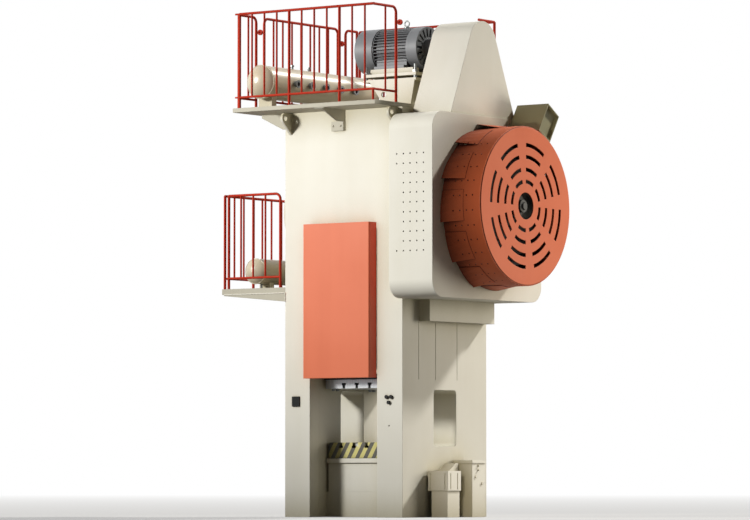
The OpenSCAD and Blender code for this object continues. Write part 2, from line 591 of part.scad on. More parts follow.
// air tanks with dished ends
module tank(y0, y1, r, x, z) translate([x, y0, z]) rotate([-90, 0, 0]) rotate_extrude($fn = 96)
  difference() {
    union() {
      translate([0, r * 0.5]) square([r, y1 - y0 - r]);
      intersection() {
        translate([0, r * 1.25]) circle(r = r * 1.25, $fn = 96);
        square([r, r * 0.51]);
      }
      intersection() {
        translate([0, y1 - y0 - r * 1.25]) circle(r = r * 1.25, $fn = 96);
        translate([0, y1 - y0 - r * 0.51]) square([r, r * 0.51]);
      }
    }
  }
tank_x = -hx - 135;
tank_z = deck_top + 120 + tank_r;
low_tank_x = -hx - 555;
low_tank_z = low_top + 62 + low_tank_r;
module upper_tank() color(tan) tank(-hy - 415, hy + 190, tank_r, tank_x, tank_z);
module lower_tank() color(tan) tank(-hy + 60, hy - 170, low_tank_r, low_tank_x, low_tank_z);
module saddle(x, y, z0, z, r) difference() {
  union() {
    bx(x - r * 0.5, x + r * 0.5, y - 45, y + 45, z0 + 10, z - r * 0.6);
    bx(x - r * 0.65, x + r * 0.65, y - 60, y + 60, z0, z0 + 14);
  }
  cy(y - 70, y + 70, r + gap, x, z, 96);
}
module tank_saddles() color(cream) {
  for (y = [-hy - 180, hy - 220]) saddle(tank_x, y, deck_top, tank_z, tank_r);
  for (y = [-hy + 360, hy - 450]) saddle(low_tank_x, y, low_top, low_tank_z, low_tank_r);
}
// stub pipes, flanges and drain cocks of the tanks
module tank_fittings() color(grey) {
  for (y = [-760, -465, -170, 125, 420]) translate([tank_x, y, tank_z]) rotate([0, 92, 0]) difference() {
    union() {
      cz(tank_r + 0.4, tank_r + 40, 36, 0, 0, 32);
      cz(tank_r + 39, tank_r + 52, 48, 0, 0, 32);
    }
    cz(tank_r + 12, tank_r + 53, 25, 0, 0, 32);
  }
  for (y = [-560, -230]) {
    cz(tank_z + tank_r + 0.4, tank_z + tank_r + 30, 16, tank_x, y, 24);
    hex_z(tank_z + tank_r + 29, tank_z + tank_r + 50, 26, tank_x, y);
  }
  cz(tank_z - tank_r - 70, tank_z - tank_r - 0.4, 14, tank_x, -900, 24);
  cz(low_tank_z - low_tank_r - 50, low_tank_z - low_tank_r - 0.4, 14, low_tank_x, -620, 24);
  cz(low_tank_z + low_tank_r + 0.4, low_tank_z + low_tank_r + 60, 20, low_tank_x, -100, 24);
}

// lower deck on the left column with its gussets
module lower_deck() color(cream) {
  bx(low_x0, -hx, -hy, hy, low_top - low_t, low_top);
  for (y = [-hy, -10, hy - 20]) translate([0, y + 20, 0]) rotate([90, 0, 0]) linear_extrude(height = 20)
    polygon([[low_x0 + 30, low_top - low_t + 5], [-hx, low_top - low_t + 5], [-hx, low_top - low_t - 105],
      [low_x0 + 30, low_top - low_t - 15]]);
}
module lower_rails() color(red) {
  for (y = [-hy + rail_in, hy - rail_in])
    rail_x(low_x0 + rail_in + 60, -hx - 95, y, low_top, [low_x0 + rail_in + 60, -hx - 95], 0, 1);
  rail_y(-hy + rail_in, hy - rail_in, low_x0 + rail_in, low_top, [-hy + rail_in, -280, 280, hy - rail_in]);
}

// lifting front guard: a sheet box, open at its back, with notches in its top for guides and cylinder
guide_x = guard_hw - 97;
module guard_box(t) {
  r = 12;
  bx(-guard_hw + t, guard_hw - t, front_y + r, -hy - 1 + t, guard_z0 + t, guard_z1 - t);
  bx(-guard_hw + r, guard_hw - r, front_y + t, front_y + r + 1, guard_z0 + t, guard_z1 - t);
  if (t == 0) for (s = [-1, 1]) cz(guard_z0, guard_z1, r, s * (guard_hw - r), front_y + r, 48);
}
module front_guard() color(orange) {
  difference() {
    guard_box(0);
    guard_box(sheet);
    for (s = [-1, 0, 1]) bx(s * (guide_x + 20) - (s == 0 ? 90 : 26), s * (guide_x + 20) + (s == 0 ? 90 : 26),
      -hy - 135, -hy + 1, guard_z1 - sheet - 1, guard_z1 + 1);
  }
  bx(-guard_hw + 5, guard_hw - 5, -hy - 100, -hy - 20, guard_z0 + 60, guard_z0 + 110);
  for (s = [-1, 1], z = [guard_z1 - 680, guard_z1 - 180])
    bx(s > 0 ? guide_x + 40 + flat : -guard_hw + 5, s > 0 ? guard_hw - 5 : -guide_x - 40 - flat,
      -hy - 70, -hy - 10, z, z + 110);
}
module guard_guides() color(steel) for (s = [-1, 1])
  bx(s > 0 ? guide_x : -guide_x - 40, s > 0 ? guide_x + 40 : -guide_x, -hy - 85, -hy,
    guard_z0 + 140, guard_z1 - 40);
module guard_cylinder() color(grey) difference() {
  union() {
    cz(guard_z0 + 510, guard_z1 - 180, 46, 0, -hy - 75);
    for (z = [guard_z0 + 600, guard_z1 - 300]) bx(-70, 70, -hy - 75, -hy, z, z + 60);
  }
  cz(guard_z0 + 540, guard_z1 - 200, 36, 0, -hy - 75);
  cz(guard_z0 + 500, guard_z0 + 541, 22 + run, 0, -hy - 75);
}
module guard_rod() color(steel) {
  cz(guard_z0 + 110, guard_z1 - 240, 22, 0, -hy - 75);
  cz(guard_z1 - 270, guard_z1 - 230, 36 - run, 0, -hy - 75);
}
// bolted plate over the back of the ram well
module rear_cover() color(orange) {
  bx(-guard_hw, guard_hw, hy, hy + 24, open_h + 30, guard_z1);
  for (x = [45 - guard_hw, guard_hw - 45], z = [open_h + 90 : 420 : guard_z1 - 60])
    hex_y(hy + 24, hy + 40, 17, x, z);
}
module display_panel() color(black) difference() {
  bx(-hx + 112, -hx + 218, -hy - 16, -hy, 1322, 1440);
  bx(-hx + 122, -hx + 208, -hy - 17, -hy - 10, 1332, 1430);
}
module push_button(k) color(black) {
  cy(-hy - 20, -hy - 8, 22, btn[k][0], btn[k][1], 48);
  cy(-hy - 9, -hy + 30, 12 - run, btn[k][0], btn[k][1], 48);
}
module button_1() push_button(0);
module button_2() push_button(1);
module button_3() push_button(2);

// two floor cabinets beside the right column
module cabinet_front() color(cream) difference() {
  union() {
    bx(hx + 70, hx + 300, -375, -130, 0, 320);
    bx(hx + 25, hx + 315, -385, -120, 314, 548);
    translate([hx + 150, 0, 0]) rotate([0, -90, 0]) linear_extrude(height = 150 - gap)
      polygon([[0, -125], [0, 60], [640, 60], [640, 0], [548, -125]]);
  }
  for (x = [60, 270]) bx(hx + x - 8, hx + x + 8, -386, -377, 330, 520);
  for (y = [-330, -190]) bx(hx + 307, hx + 316, y - 8, y + 8, 330, 520);
}
module cabinet_rear() color(cream) {
  bx(hx + 35, hx + 305, 130, 390, 0, 640);
  bx(hx + gap, hx + 40, 180, 340, 380, 560);
  bx(hx + 25, hx + 315, 120, 400, 640, 675);
  for (p = [[200, 480], [330, 400]]) cx(hx + 304, hx + 318, 14, p[0], p[1], 24);
  for (z = [560, 610]) cx(hx + 304, hx + 325, 10, 250, z, 24);
  cy(118, 131, 12, hx + 110, 430, 24);
}

main_frame();
bed_pedestal();
bolster();
ejector_cylinder();
ejector_pin();
ram();
upper_die_holder();
holder_bolts();
ram_gibs();
yoke_block();
eccentric_shaft();
bearing_housings();
bearing_bushes();
brake_disc();
brake_caliper();
brake_cover();
flywheel();
flywheel_bush();
clutch_ring();
clutch_disc();
air_union();
drive_housing();
clutch_cover_shell();
clutch_cover_disc();
cover_scoops();
belt_guard();
flywheel_brake_box();
drive_belts();
motor_pulley();
motor_rotor();
motor_fan();
motor_stator();
motor_end_shield();
motor_fan_cover();
motor_eyebolt();
motor_base();
jack_screws();
motor_bracket();
upper_deck();
upper_rail_front();
upper_rail_left();
upper_rail_back();
rail_couplings();
upper_tank();
tank_saddles();
tank_fittings();
lower_deck();
lower_rails();
lower_tank();
front_guard();
guard_guides();
guard_cylinder();
guard_rod();
rear_cover();
display_panel();
button_1();
button_2();
button_3();
cabinet_front();
cabinet_rear();
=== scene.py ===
import json
import math
import bmesh
import bpy
from mathutils import Matrix, Vector


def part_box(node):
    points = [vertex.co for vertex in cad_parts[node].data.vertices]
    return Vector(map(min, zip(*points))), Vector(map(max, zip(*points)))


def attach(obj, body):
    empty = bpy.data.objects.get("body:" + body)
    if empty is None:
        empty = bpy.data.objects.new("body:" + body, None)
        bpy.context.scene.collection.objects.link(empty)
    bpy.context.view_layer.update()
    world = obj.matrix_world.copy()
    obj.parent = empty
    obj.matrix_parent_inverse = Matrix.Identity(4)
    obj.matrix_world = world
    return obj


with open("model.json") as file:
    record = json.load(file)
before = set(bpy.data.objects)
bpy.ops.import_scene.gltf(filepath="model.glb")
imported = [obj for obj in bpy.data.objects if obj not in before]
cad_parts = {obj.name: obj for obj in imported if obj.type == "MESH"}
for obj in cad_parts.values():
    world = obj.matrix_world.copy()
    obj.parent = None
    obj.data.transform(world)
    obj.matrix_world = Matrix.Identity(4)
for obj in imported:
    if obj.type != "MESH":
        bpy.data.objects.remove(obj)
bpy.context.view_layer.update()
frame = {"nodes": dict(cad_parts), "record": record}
nodes = frame["nodes"]
scene = bpy.context.scene
scene.view_settings.view_transform = "Standard"
print("loaded", len(nodes), "pieces")


def toLinear(hexColour):
    # sRGB hex to the linear values that the shader sockets take
    parts = [int(hexColour[i:i + 2], 16) / 255 for i in (1, 3, 5)]
    return [c / 12.92 if c <= 0.04045 else ((c + 0.055) / 1.055) ** 2.4 for c in parts] + [1.0]


def addNode(tree, kind, values=None, links=None, **settings):
    # one shader node: its settings first, then socket values, then the links into its sockets
    node = tree.nodes.new("ShaderNode" + kind)
    for key, value in settings.items():
        setattr(node, key, value)
    for key, value in (values or {}).items():
        node.inputs[key].default_value = value
    for key, source in (links or {}).items():
        tree.links.new(source, node.inputs[key])
    return node


def startMaterial(name):
    mat = bpy.data.materials.new(name)
    mat.use_nodes = True
    tree = mat.node_tree
    shader = tree.nodes["Principled BSDF"]
    place = addNode(tree, "TexCoord").outputs["Object"]
    return mat, tree, shader, place


def perMm(size):
    # texture scale for a pattern of that size in millimetres, on coordinates in metres
    return 1000.0 / size


# painted shade in deep corners: how far the occlusion looks, and the occlusion values where the shade is
# full and where it fades out
paintedShade = {"reachMm": 420.0, "deep": 0.42, "open": 0.95, "samples": 6}


def shadeCorners(tree, colour, shade):
    # painted shade: deep corners, gaps and hollows that ambient occlusion finds are darkened by multiplying
    # in a shade colour
    corner = addNode(tree, "AmbientOcclusion", {"Distance": paintedShade["reachMm"] / 1000},
                     samples=paintedShade["samples"])
    shadeShare = addNode(tree, "MapRange",
                   {"From Min": paintedShade["deep"], "From Max": paintedShade["open"], "To Min": 1.0, "To Max": 0.0},
                   {"Value": corner.outputs["AO"]})
    shadedMix = addNode(tree, "Mix", {"B": toLinear(shade)}, {"Factor": shadeShare.outputs["Result"], "A": colour},
                   data_type="RGBA", blend_type="MULTIPLY")
    return shadedMix.outputs["Result"]


# each paint's corner colour is multiplied into it as painted shade where corners are deep
enamel = {
    "cream": {"colour": "#E6E3D8", "dust": "#CBC4AE", "corner": "#CBC6B4",
              "rough": 0.6, "coat": 0.0, "shine": 0.3},
    "orange": {"colour": "#D76A3F", "dust": "#B8502A", "corner": "#503A30",
               "rough": 0.58, "coat": 0.0, "shine": 0.3},
    # the guard's corner colour turns its shaded sides a deeper red as painted shade
    "guard": {"colour": "#DB6F47", "dust": "#BA522B", "corner": "#EE7D5B",
              "rough": 0.5, "coat": 0.15, "shine": 0.3},
    "deck": {"colour": "#B8B3A3", "dust": "#9D9784", "corner": "#F3F3F3",
             "rough": 0.6, "coat": 0.0, "shine": 0.3},
    "red": {"colour": "#B43019", "dust": "#86180C", "corner": "#E7E7E7",
            "rough": 0.65, "coat": 0.0, "shine": 0.15},
    "grey": {"colour": "#83868A", "dust": "#64686C", "corner": "#AAAAAA",
             "rough": 0.45, "coat": 0.0, "shine": 0.3},
    "tan": {"colour": "#CFC5AC", "dust": "#B1A78B", "corner": "#DADADA",
            "rough": 0.3, "coat": 0.3, "shine": 0.3},
    "olive": {"colour": "#ABA67F", "dust": "#8C8763", "corner": "#E7E7E7",
              "rough": 0.45, "coat": 0.1, "shine": 0.3},
    "cloudMm": 900.0, "streakMm": 240.0, "streakStretch": 0.08,
    "dustFrom": 0.18, "dustTo": 0.42, "dustMost": 0.16,
    "glossier": 0.05, "duller": 0.12, "ior": 1.5, "coatRough": 0.25,
    "peelMm": 14.0, "peelDeepMm": 1.0, "peel": 0.05, "edgeMm": 7.0, "edgeSamples": 4,
}


def sprayedEnamel(name, look):
    # alkyd enamel, sprayed: an orange-peel skin, faint clouding with dust in streaks, painted shade in deep
    # corners, soft rounded edges
    # real orange peel is a few millimetres across, here it is drawn coarser so that it shows
    mat, tree, shader, place = startMaterial(name)
    cloud = addNode(tree, "TexNoise", {"Scale": perMm(enamel["cloudMm"]), "Detail": 4.0, "Roughness": 0.6},
                    {"Vector": place})
    streakPlace = addNode(tree, "Mapping", {"Scale": (1.0, 1.0, enamel["streakStretch"])}, {"Vector": place})
    streak = addNode(tree, "TexNoise", {"Scale": perMm(enamel["streakMm"]), "Detail": 3.0},
                     {"Vector": streakPlace.outputs["Vector"]})
    both = addNode(tree, "Math", {}, {0: cloud.outputs["Fac"], 1: streak.outputs["Fac"]},
                   operation="MULTIPLY")
    dusty = addNode(tree, "MapRange",
                    {"From Min": enamel["dustFrom"], "From Max": enamel["dustTo"],
                     "To Min": 0.0, "To Max": enamel["dustMost"]},
                    {"Value": both.outputs["Value"]})
    ramp = addNode(tree, "ValToRGB", {}, {"Fac": dusty.outputs["Result"]})
    ramp.color_ramp.elements[0].color = toLinear(look["colour"])
    ramp.color_ramp.elements[1].color = toLinear(look["dust"])
    # painted shade darkens the dusty paint in deep corners
    withShade = shadeCorners(tree, ramp.outputs["Color"], look["corner"])
    tree.links.new(withShade, shader.inputs["Base Color"])
    gloss = addNode(tree, "MapRange",
                    {"To Min": look["rough"] - enamel["glossier"],
                     "To Max": look["rough"] + enamel["duller"]},
                    {"Value": cloud.outputs["Fac"]})
    tree.links.new(gloss.outputs["Result"], shader.inputs["Roughness"])
    edge = addNode(tree, "Bevel", {"Radius": enamel["edgeMm"] / 1000}, samples=enamel["edgeSamples"])
    peel = addNode(tree, "TexNoise", {"Scale": perMm(enamel["peelMm"]), "Detail": 2.0}, {"Vector": place})
    bump = addNode(tree, "Bump", {"Strength": enamel["peel"], "Distance": enamel["peelDeepMm"] / 1000},
                   {"Height": peel.outputs["Fac"], "Normal": edge.outputs["Normal"]})
    tree.links.new(bump.outputs["Normal"], shader.inputs["Normal"])
    shader.inputs["IOR"].default_value = enamel["ior"]
    shader.inputs["Specular IOR Level"].default_value = look["shine"]
    shader.inputs["Coat Weight"].default_value = look["coat"]
    shader.inputs["Coat Roughness"].default_value = enamel["coatRough"]
    return mat


metal = {
    "ground": {"colour": "#B4B6B8", "dark": "#8E9194", "rough": 0.32, "metallic": 1.0,
               "grainMm": 6.0, "stretch": (1, 1, 0.05)},
    "casting": {"colour": "#2B2B2C", "dark": "#1A1A1B", "rough": 0.7, "metallic": 0.2,
                "grainMm": 9.0, "stretch": (1, 1, 1)},
    "oiled": {"colour": "#4A4945", "dark": "#2E2D2A", "rough": 0.6, "metallic": 0.4,
              "grainMm": 6.0, "stretch": (1, 1, 0.05)},
    "bronze": {"colour": "#B08A4A", "dark": "#8A6830", "rough": 0.35, "metallic": 1.0,
               "grainMm": 8.0, "stretch": (1, 1, 0.1)},
    "zinc": {"colour": "#8D8F8E", "dark": "#5E6060", "rough": 0.4, "metallic": 0.9,
             "grainMm": 12.0, "stretch": (1, 1, 1)},
    "darkAt": 0.3, "lightAt": 0.65, "glossier": 0.08, "duller": 0.15, "bump": 0.12, "deepMm": 1.0,
}


def bareMetal(name, look):
    # bare, oiled or plated metal: tool lines, sand grain or mottled plating break up its shine
    # tool lines and grain are finer than this on the real metal, drawn coarser so that they show
    mat, tree, shader, place = startMaterial(name)
    lines = addNode(tree, "Mapping", {"Scale": look["stretch"]}, {"Vector": place})
    grain = addNode(tree, "TexNoise", {"Scale": perMm(look["grainMm"]), "Detail": 5.0},
                    {"Vector": lines.outputs["Vector"]})
    ramp = addNode(tree, "ValToRGB", {}, {"Fac": grain.outputs["Fac"]})
    ramp.color_ramp.elements[0].position = metal["darkAt"]
    ramp.color_ramp.elements[0].color = toLinear(look["dark"])
    ramp.color_ramp.elements[1].position = metal["lightAt"]
    ramp.color_ramp.elements[1].color = toLinear(look["colour"])
    tree.links.new(ramp.outputs["Color"], shader.inputs["Base Color"])
    gloss = addNode(tree, "MapRange",
                    {"To Min": look["rough"] - metal["glossier"],
                     "To Max": look["rough"] + metal["duller"]},
                    {"Value": grain.outputs["Fac"]})
    tree.links.new(gloss.outputs["Result"], shader.inputs["Roughness"])
    bump = addNode(tree, "Bump", {"Strength": metal["bump"], "Distance": metal["deepMm"] / 1000},
                   {"Height": grain.outputs["Fac"]})
    tree.links.new(bump.outputs["Normal"], shader.inputs["Normal"])
    shader.inputs["Metallic"].default_value = look["metallic"]
    return mat


moulded = {
    "abs": {"colour": "#101010", "light": "#1C1C1C", "rough": 0.6, "grainMm": 3.0},
    "acrylic": {"colour": "#0B0F0D", "light": "#141A17", "rough": 0.3, "grainMm": 30.0},
    "rubber": {"colour": "#0E0E0E", "light": "#1E1D1C", "rough": 0.75, "grainMm": 5.0},
    "shine": 0.2, "bump": 0.2, "deepMm": 0.5,
}


def mouldedPolymer(name, look):
    # ABS or rubber from a spark-eroded mould: a pebble that dulls the shine, drawn coarser than real to show
    # on acrylic the same pattern is wide and gives the slow waviness of a cast sheet
    mat, tree, shader, place = startMaterial(name)
    grain = addNode(tree, "TexNoise", {"Scale": perMm(look["grainMm"]), "Detail": 2.0}, {"Vector": place})
    ramp = addNode(tree, "ValToRGB", {}, {"Fac": grain.outputs["Fac"]})
    ramp.color_ramp.elements[0].color = toLinear(look["colour"])
    ramp.color_ramp.elements[1].color = toLinear(look["light"])
    tree.links.new(ramp.outputs["Color"], shader.inputs["Base Color"])
    bump = addNode(tree, "Bump", {"Strength": moulded["bump"], "Distance": moulded["deepMm"] / 1000},
                   {"Height": grain.outputs["Fac"]})
    tree.links.new(bump.outputs["Normal"], shader.inputs["Normal"])
    shader.inputs["Roughness"].default_value = look["rough"]
    shader.inputs["Specular IOR Level"].default_value = moulded["shine"]
    return mat


stripe = {
    "yellow": "#D6CC7C", "black": "#4C493E", "steel": "#9C9D9B", "corner": "#595959",
    "pitchMm": 121.0, "lean": 0.58, "blackShare": 0.5, "facing": 0.5,
    "wearMm": 90.0, "rubFrom": 0.62, "rubTo": 0.72, "roughLeast": 0.35, "roughMost": 0.6,
}


def stripedSteel(name):
    # steel plate with brushed-on safety stripes on its sides, rubbed through in spots, a ground top, and
    # painted shade in deep corners
    mat, tree, shader, place = startMaterial(name)
    axes = addNode(tree, "SeparateXYZ", {}, {0: place})
    face = addNode(tree, "SeparateXYZ", {}, {0: addNode(tree, "NewGeometry").outputs["Normal"]})
    sideways = addNode(tree, "Math", {}, {0: face.outputs["X"]}, operation="ABSOLUTE")
    onSide = addNode(tree, "Math", {1: stripe["facing"]}, {0: sideways.outputs["Value"]},
                     operation="GREATER_THAN")
    along = addNode(tree, "Mix", {}, {"Factor": onSide.outputs["Value"],
                                      "A": axes.outputs["X"], "B": axes.outputs["Y"]})
    slant = addNode(tree, "Math", {1: -stripe["lean"]}, {0: axes.outputs["Z"], 2: along.outputs["Result"]},
                    operation="MULTIPLY_ADD")
    count = addNode(tree, "Math", {1: perMm(stripe["pitchMm"])}, {0: slant.outputs["Value"]},
                    operation="MULTIPLY")
    part = addNode(tree, "Math", {}, {0: count.outputs["Value"]}, operation="FRACT")
    band = addNode(tree, "Math", {1: stripe["blackShare"]}, {0: part.outputs["Value"]},
                   operation="GREATER_THAN")
    wear = addNode(tree, "TexNoise", {"Scale": perMm(stripe["wearMm"]), "Detail": 6.0}, {"Vector": place})
    paint = addNode(tree, "ValToRGB", {}, {"Fac": band.outputs["Value"]})
    paint.color_ramp.elements[0].color = toLinear(stripe["black"])
    paint.color_ramp.elements[1].color = toLinear(stripe["yellow"])
    up = addNode(tree, "Math", {}, {0: face.outputs["Z"]}, operation="ABSOLUTE")
    onTop = addNode(tree, "Math", {1: stripe["facing"]}, {0: up.outputs["Value"]}, operation="GREATER_THAN")
    rub = addNode(tree, "MapRange", {"From Min": stripe["rubFrom"], "From Max": stripe["rubTo"]},
                  {"Value": wear.outputs["Fac"]})
    bare = addNode(tree, "Math", {}, {0: onTop.outputs["Value"], 1: rub.outputs["Result"]},
                   operation="MAXIMUM")
    skin = addNode(tree, "Mix", {"B": toLinear(stripe["steel"])},
                   {"Factor": bare.outputs["Value"], "A": paint.outputs["Color"]}, data_type="RGBA")
    # painted shade darkens stripes and bare steel in deep corners
    withShade = shadeCorners(tree, skin.outputs["Result"], stripe["corner"])
    tree.links.new(withShade, shader.inputs["Base Color"])
    tree.links.new(bare.outputs["Value"], shader.inputs["Metallic"])
    gloss = addNode(tree, "MapRange", {"To Min": stripe["roughLeast"], "To Max": stripe["roughMost"]},
                    {"Value": wear.outputs["Fac"]})
    tree.links.new(gloss.outputs["Result"], shader.inputs["Roughness"])
    return mat


finish = {
    "cream_paint": sprayedEnamel("cream_enamel_sprayed", enamel["cream"]),
    "orange_paint": sprayedEnamel("orange_enamel_sprayed", enamel["orange"]),
    "red_paint": sprayedEnamel("red_enamel_sprayed", enamel["red"]),
    "motor_grey": sprayedEnamel("grey_enamel_sprayed", enamel["grey"]),
    "tank_enamel": sprayedEnamel("tan_enamel_gloss", enamel["tan"]),
    "olive_paint": sprayedEnamel("olive_enamel_sprayed", enamel["olive"]),
    "machined_steel": bareMetal("steel_ground", metal["ground"]),
    "cast_iron": bareMetal("iron_cast_oiled", metal["casting"]),
    "bronze": bareMetal("bronze_turned", metal["bronze"]),
    "zinc_fittings": bareMetal("steel_zinc_plated", metal["zinc"]),
    "black_plastic": mouldedPolymer("abs_black_moulded", moulded["abs"]),
    "belt_rubber": mouldedPolymer("rubber_black_moulded", moulded["rubber"]),
    "striped_steel": stripedSteel("steel_safety_striped"),
}
deckEnamel = sprayedEnamel("deck_enamel_sprayed", enamel["deck"])
oiledSteel = bareMetal("steel_turned_oiled", metal["oiled"])
guardEnamel = sprayedEnamel("guard_enamel_sprayed", enamel["guard"])
own = {
    "upper_deck": deckEnamel, "lower_deck": deckEnamel, "front_guard": guardEnamel,
    "clutch_disc": oiledSteel, "air_union": oiledSteel,
}
for part in frame["record"]["subparts"]:
    look = own.get(part["node"], finish[part["material_slot"]])
    skin = nodes[part["node"]].data.materials
    for i in range(len(skin)):
        skin[i] = look
    if not len(skin):
        skin.append(look)


def addPiece(name, body, slotName, bm, material=None):
    # makes a finished bmesh a piece that rides one body and wears its slot's finish or a material of its own
    mesh = bpy.data.meshes.new(name)
    bm.to_mesh(mesh)
    bm.free()
    piece = bpy.data.objects.new(name, mesh)
    mesh.materials.append(material or finish[slotName])
    scene.collection.objects.link(piece)
    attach(piece, body)


def turnTo(axis):
    # rotation that stands a shape drawn along Z on the given axis
    return Vector((0, 0, 1)).rotation_difference(Vector(axis)).to_matrix().to_4x4()


def onCircle(radius, k, count):
    # point k of count around a circle
    angle = math.tau * k / count
    return radius * math.cos(angle), radius * math.sin(angle)


def joinRings(bm, last, ring):
    # a band of faces between two rings of as many points
    for k in range(len(ring)):
        after = (k + 1) % len(ring)
        bm.faces.new((last[k], last[after], ring[after], ring[k]))


screwHead = {  # shares of the head's width and height
    "washer": 0.60, "washerTop": 0.12, "flats": 0.56, "shoulder": 0.85, "crown": 0.46, "washerPoints": 24,
}


def hexScrew(bm, at, axis, wide, tall):
    # hexagon head with a turned washer face and a chamfered crown
    place = Matrix.Translation(at) @ turnTo(axis)
    sections = ((0.0, screwHead["washer"], screwHead["washerPoints"]),
                (screwHead["washerTop"], screwHead["washer"], screwHead["washerPoints"]),
                (screwHead["washerTop"], screwHead["flats"], 6),
                (screwHead["shoulder"], screwHead["flats"], 6),
                (1.0, screwHead["crown"], 6))
    last = None
    for height, radius, count in sections:
        ring = []
        for k in range(count):
            x, y = onCircle(wide * radius, k, count)
            ring.append(bm.verts.new(place @ Vector((x, y, tall * height))))
        if last and len(last) == count:
            joinRings(bm, last, ring)
        else:
            if last:
                bm.faces.new(last)
            bm.faces.new(ring[::-1])
        last = ring
    bm.faces.new(last)


bead = {"pitch": 0.016, "sides": 7, "ripple": 0.14, "rippleStep": 2.1}


def weldBead(bm, points, radius):
    # weld bead laid along the points: its ripples are the steps of the electrode, drawn coarser than real
    rings = []
    for i in range(len(points) - 1):
        start = Vector(points[i])
        end = Vector(points[i + 1])
        count = max(2, round((end - start).length / bead["pitch"]))
        turn = turnTo((end - start).normalized())
        for k in range(count):
            swell = radius * (1.0 - bead["ripple"] + bead["ripple"] * math.sin(bead["rippleStep"] * k + i))
            middle = start.lerp(end, k / (count - 1))
            ring = []
            for j in range(bead["sides"]):
                x, y = onCircle(swell, j, bead["sides"])
                ring.append(bm.verts.new(middle + turn @ Vector((x, y, 0))))
            rings.append(ring)
    for last, ring in zip(rings, rings[1:]):
        joinRings(bm, last, ring)
    bm.faces.new(rings[0][::-1])
    bm.faces.new(rings[-1])


coverScrew = {"circle": 0.470, "count": 12, "wide": 0.030, "tall": 0.020}


def brakeCoverScrews():
    # a circle of screws holds the brake cover's outer face
    low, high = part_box("brake_cover")
    middle = (low + high) / 2
    bm = bmesh.new()
    for k in range(coverScrew["count"]):
        y, z = onCircle(coverScrew["circle"], k, coverScrew["count"])
        at = Vector((low.x, middle.y + y, middle.z + z))
        hexScrew(bm, at, (-1, 0, 0), coverScrew["wide"], coverScrew["tall"])
    addPiece("brake_cover_screws", "press", "zinc_fittings", bm)


tread = {
    "pitch": 0.075, "long": 0.046, "wide": 0.014, "tall": 0.004, "sunk": 0.0005, "edge": 0.06, "turn": 45.0,
    "outline": ((-1, 0), (-0.4, -0.8), (0.4, -0.8), (1, 0), (0.4, 0.8), (-0.4, 0.8)), "ridge": 0.45,
}


def treadLugs(name, node):
    # lentil-shaped lugs of rolled tread plate, drawn at twice their real pitch, each crosswise to the next
    low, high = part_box(node)
    bm = bmesh.new()
    rows = int((high.x - low.x - 2 * tread["edge"]) / tread["pitch"])
    columns = int((high.y - low.y - 2 * tread["edge"]) / tread["pitch"])
    for i in range(rows + 1):
        for j in range(columns + 1):
            middle = Vector((low.x + tread["edge"] + i * tread["pitch"],
                             low.y + tread["edge"] + j * tread["pitch"], high.z))
            turn = Matrix.Rotation(math.radians(tread["turn"] if (i + j) % 2 else -tread["turn"]), 3, "Z")
            foot = []
            for x, y in tread["outline"]:
                corner = Vector((x * tread["long"] / 2, y * tread["wide"] / 2, -tread["sunk"]))
                foot.append(bm.verts.new(middle + turn @ corner))
            ridge = []
            for x in (-tread["ridge"], tread["ridge"]):
                ridge.append(bm.verts.new(middle + turn @ Vector((x * tread["long"] / 2, 0, tread["tall"]))))
            bm.faces.new((foot[0], foot[1], ridge[0]))
            bm.faces.new((foot[1], foot[2], ridge[1], ridge[0]))
            bm.faces.new((foot[2], foot[3], ridge[1]))
            bm.faces.new((foot[3], foot[4], ridge[1]))
            bm.faces.new((foot[4], foot[5], ridge[0], ridge[1]))
            bm.faces.new((foot[5], foot[0], ridge[0]))
            bm.faces.new(foot[::-1])
    addPiece(name, "press", "cream_paint", bm)


tankSeam = {"bead": 0.007, "steps": 72, "headDeep": 0.5}


def tankSeams():
    # butt welds between a tank's rolled shell and its two dished heads, which are half a radius deep
    bm = bmesh.new()
    for node in ("upper_tank", "lower_tank"):
        low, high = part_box(node)
        radius = (high.x - low.x) / 2
        middle = (low + high) / 2
        for y in (low.y + radius * tankSeam["headDeep"], high.y - radius * tankSeam["headDeep"]):
            ring = []
            for k in range(tankSeam["steps"] + 1):
                x, z = onCircle(radius, k, tankSeam["steps"])
                ring.append((middle.x + x, y, middle.z + z))
            weldBead(bm, ring, tankSeam["bead"])
    addPiece("tank_seams", "press", "tank_enamel", bm)


displayPane = {
    "margin": 0.010, "gap": 0.0005, "corner": 0.008, "cornerSteps": 5, "back": 0.0105, "front": 0.0135,
}


def displayGlass():
    # smoked acrylic pane with rounded corners that lies in the bezel's recess
    low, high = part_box("display_panel")
    bend = displayPane["corner"]
    inset = displayPane["margin"] + displayPane["gap"] + bend
    left = low.x + inset
    right = high.x - inset
    bottom = low.z + inset
    top = high.z - inset
    outline = []
    for x, z, start in ((right, top, 0), (left, top, 90), (left, bottom, 180), (right, bottom, 270)):
        for k in range(displayPane["cornerSteps"] + 1):
            angle = math.radians(start + 90 * k / displayPane["cornerSteps"])
            outline.append((x + bend * math.cos(angle), z + bend * math.sin(angle)))
    bm = bmesh.new()
    face = bm.faces.new([bm.verts.new((x, high.y - displayPane["back"], z)) for x, z in outline])
    grown = bmesh.ops.extrude_face_region(bm, geom=[face])["geom"]
    moved = [v for v in grown if isinstance(v, bmesh.types.BMVert)]
    bmesh.ops.translate(bm, verts=moved, vec=(0, displayPane["back"] - displayPane["front"], 0))
    bmesh.ops.recalc_face_normals(bm, faces=bm.faces)
    smoked = mouldedPolymer("acrylic_smoked", moulded["acrylic"])
    addPiece("display_glass", "press", "black_plastic", bm, smoked)


boxLid = {
    "left": 0.230, "right": 0.420, "below": 0.020, "above": 0.150, "back": 0.325,
    "lip": 0.006, "out": 0.004, "edge": 0.0015, "edgeSteps": 2,
    "screw": 0.016, "screwTall": 0.008, "inset": 0.018,
}


